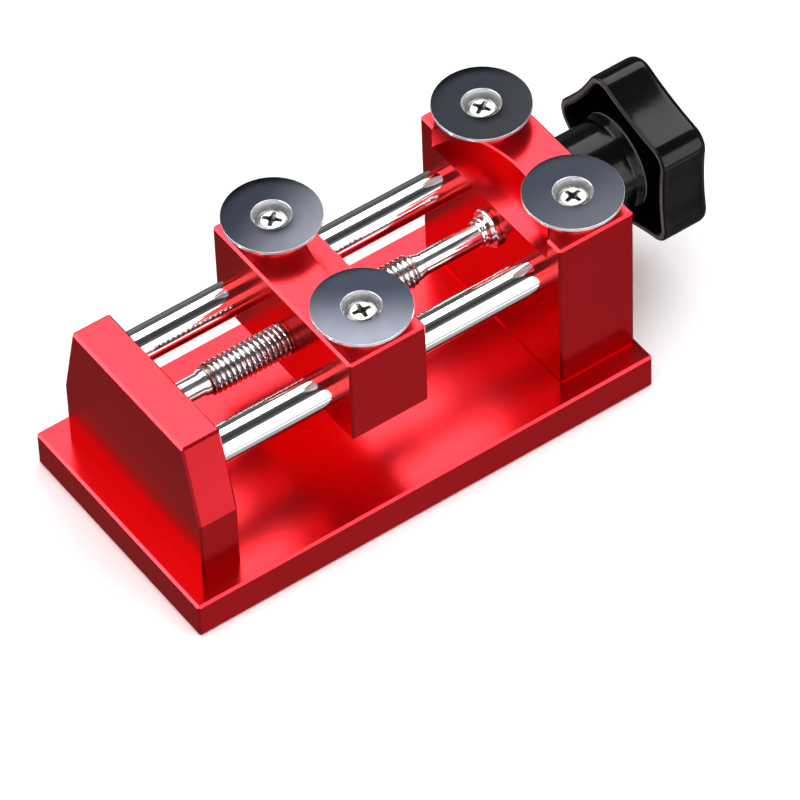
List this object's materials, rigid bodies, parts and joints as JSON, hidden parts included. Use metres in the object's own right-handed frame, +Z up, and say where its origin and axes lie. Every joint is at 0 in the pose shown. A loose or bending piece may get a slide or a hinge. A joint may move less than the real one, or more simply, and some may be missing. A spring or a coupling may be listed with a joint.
{
  "type": "watch bezel removing vice",
  "caption": "Bench vice whose jaws carry round knife-edged discs; a lead screw with a lobed knob slides the moving jaw along guide rods to lift a bezel off a watch case.",
  "frame": {"origin": "centre of the base plate's flat underside, midway along its length and width", "axes": "+X along the lead screw from the end block towards the knob, +Y towards the rear guide rod, +Z up away from the bench"},
  "size_m": [0.1411, 0.0604, 0.0549],
  "materials": {
    "red_anodised": "satin red anodised",
    "chrome_rod": "ground and chromed",
    "screw_steel": "plated, turned",
    "washer_steel": "plated",
    "knob_black": "gloss black moulded",
    "sleeve_brass": "turned",
    "small_screw": "nickel plated",
    "disc_steel": "polished, blue-grey",
    "black_screw": "blackened"
  },
  "bodies": {
    "base": {"base_plate": "red_anodised", "end_block": "red_anodised", "fixed_jaw": "red_anodised", "guide_rod_front": "chrome_rod", "guide_rod_rear": "chrome_rod", "disc_screw_fixed_front": "small_screw", "disc_screw_fixed_rear": "small_screw", "jaw_base_screws": "black_screw", "end_base_screws": "black_screw"},
    "screw": {"lead_screw": "screw_steel", "thrust_washer": "washer_steel", "hub_washer": "washer_steel", "knob": "knob_black", "knob_sleeve": "sleeve_brass", "knob_screw": "small_screw"},
    "jaw": {"moving_jaw": "red_anodised", "disc_screw_moving_front": "small_screw", "disc_screw_moving_rear": "small_screw"},
    "disc_fixed_front": {"pry_disc_fixed_front": "disc_steel"},
    "disc_fixed_rear": {"pry_disc_fixed_rear": "disc_steel"},
    "disc_moving_front": {"pry_disc_moving_front": "disc_steel"},
    "disc_moving_rear": {"pry_disc_moving_rear": "disc_steel"}
  },
  "joints": [
    {"name": "screw_turn", "type": "hinge", "parent": "base", "child": "screw", "pos_m": [0.05735, 0, 0.0358], "axis": [-1, 0, 0], "range_deg": [-8245, 7812]},
    {"name": "jaw_slide", "type": "slide", "parent": "base", "child": "jaw", "axis": [1, 0, 0], "range_m": [-0.0286, 0.0271]},
    {"name": "disc_turn_fixed_front", "type": "hinge", "parent": "base", "child": "disc_fixed_front", "pos_m": [0.04805, -0.01605, 0.049], "axis": [0, 0, 1], "continuous": true},
    {"name": "disc_turn_fixed_rear", "type": "hinge", "parent": "base", "child": "disc_fixed_rear", "pos_m": [0.04805, 0.01605, 0.049], "axis": [0, 0, 1], "continuous": true},
    {"name": "disc_turn_moving_front", "type": "hinge", "parent": "jaw", "child": "disc_moving_front", "pos_m": [-0.00545, -0.01605, 0.049], "axis": [0, 0, 1], "continuous": true},
    {"name": "disc_turn_moving_rear", "type": "hinge", "parent": "jaw", "child": "disc_moving_rear", "pos_m": [-0.00545, 0.01605, 0.049], "axis": [0, 0, 1], "continuous": true}
  ],
  "couplings": [
    {"joint": "screw_turn", "follows": "jaw_slide", "rad_per_m": 5026.5}
  ]
}
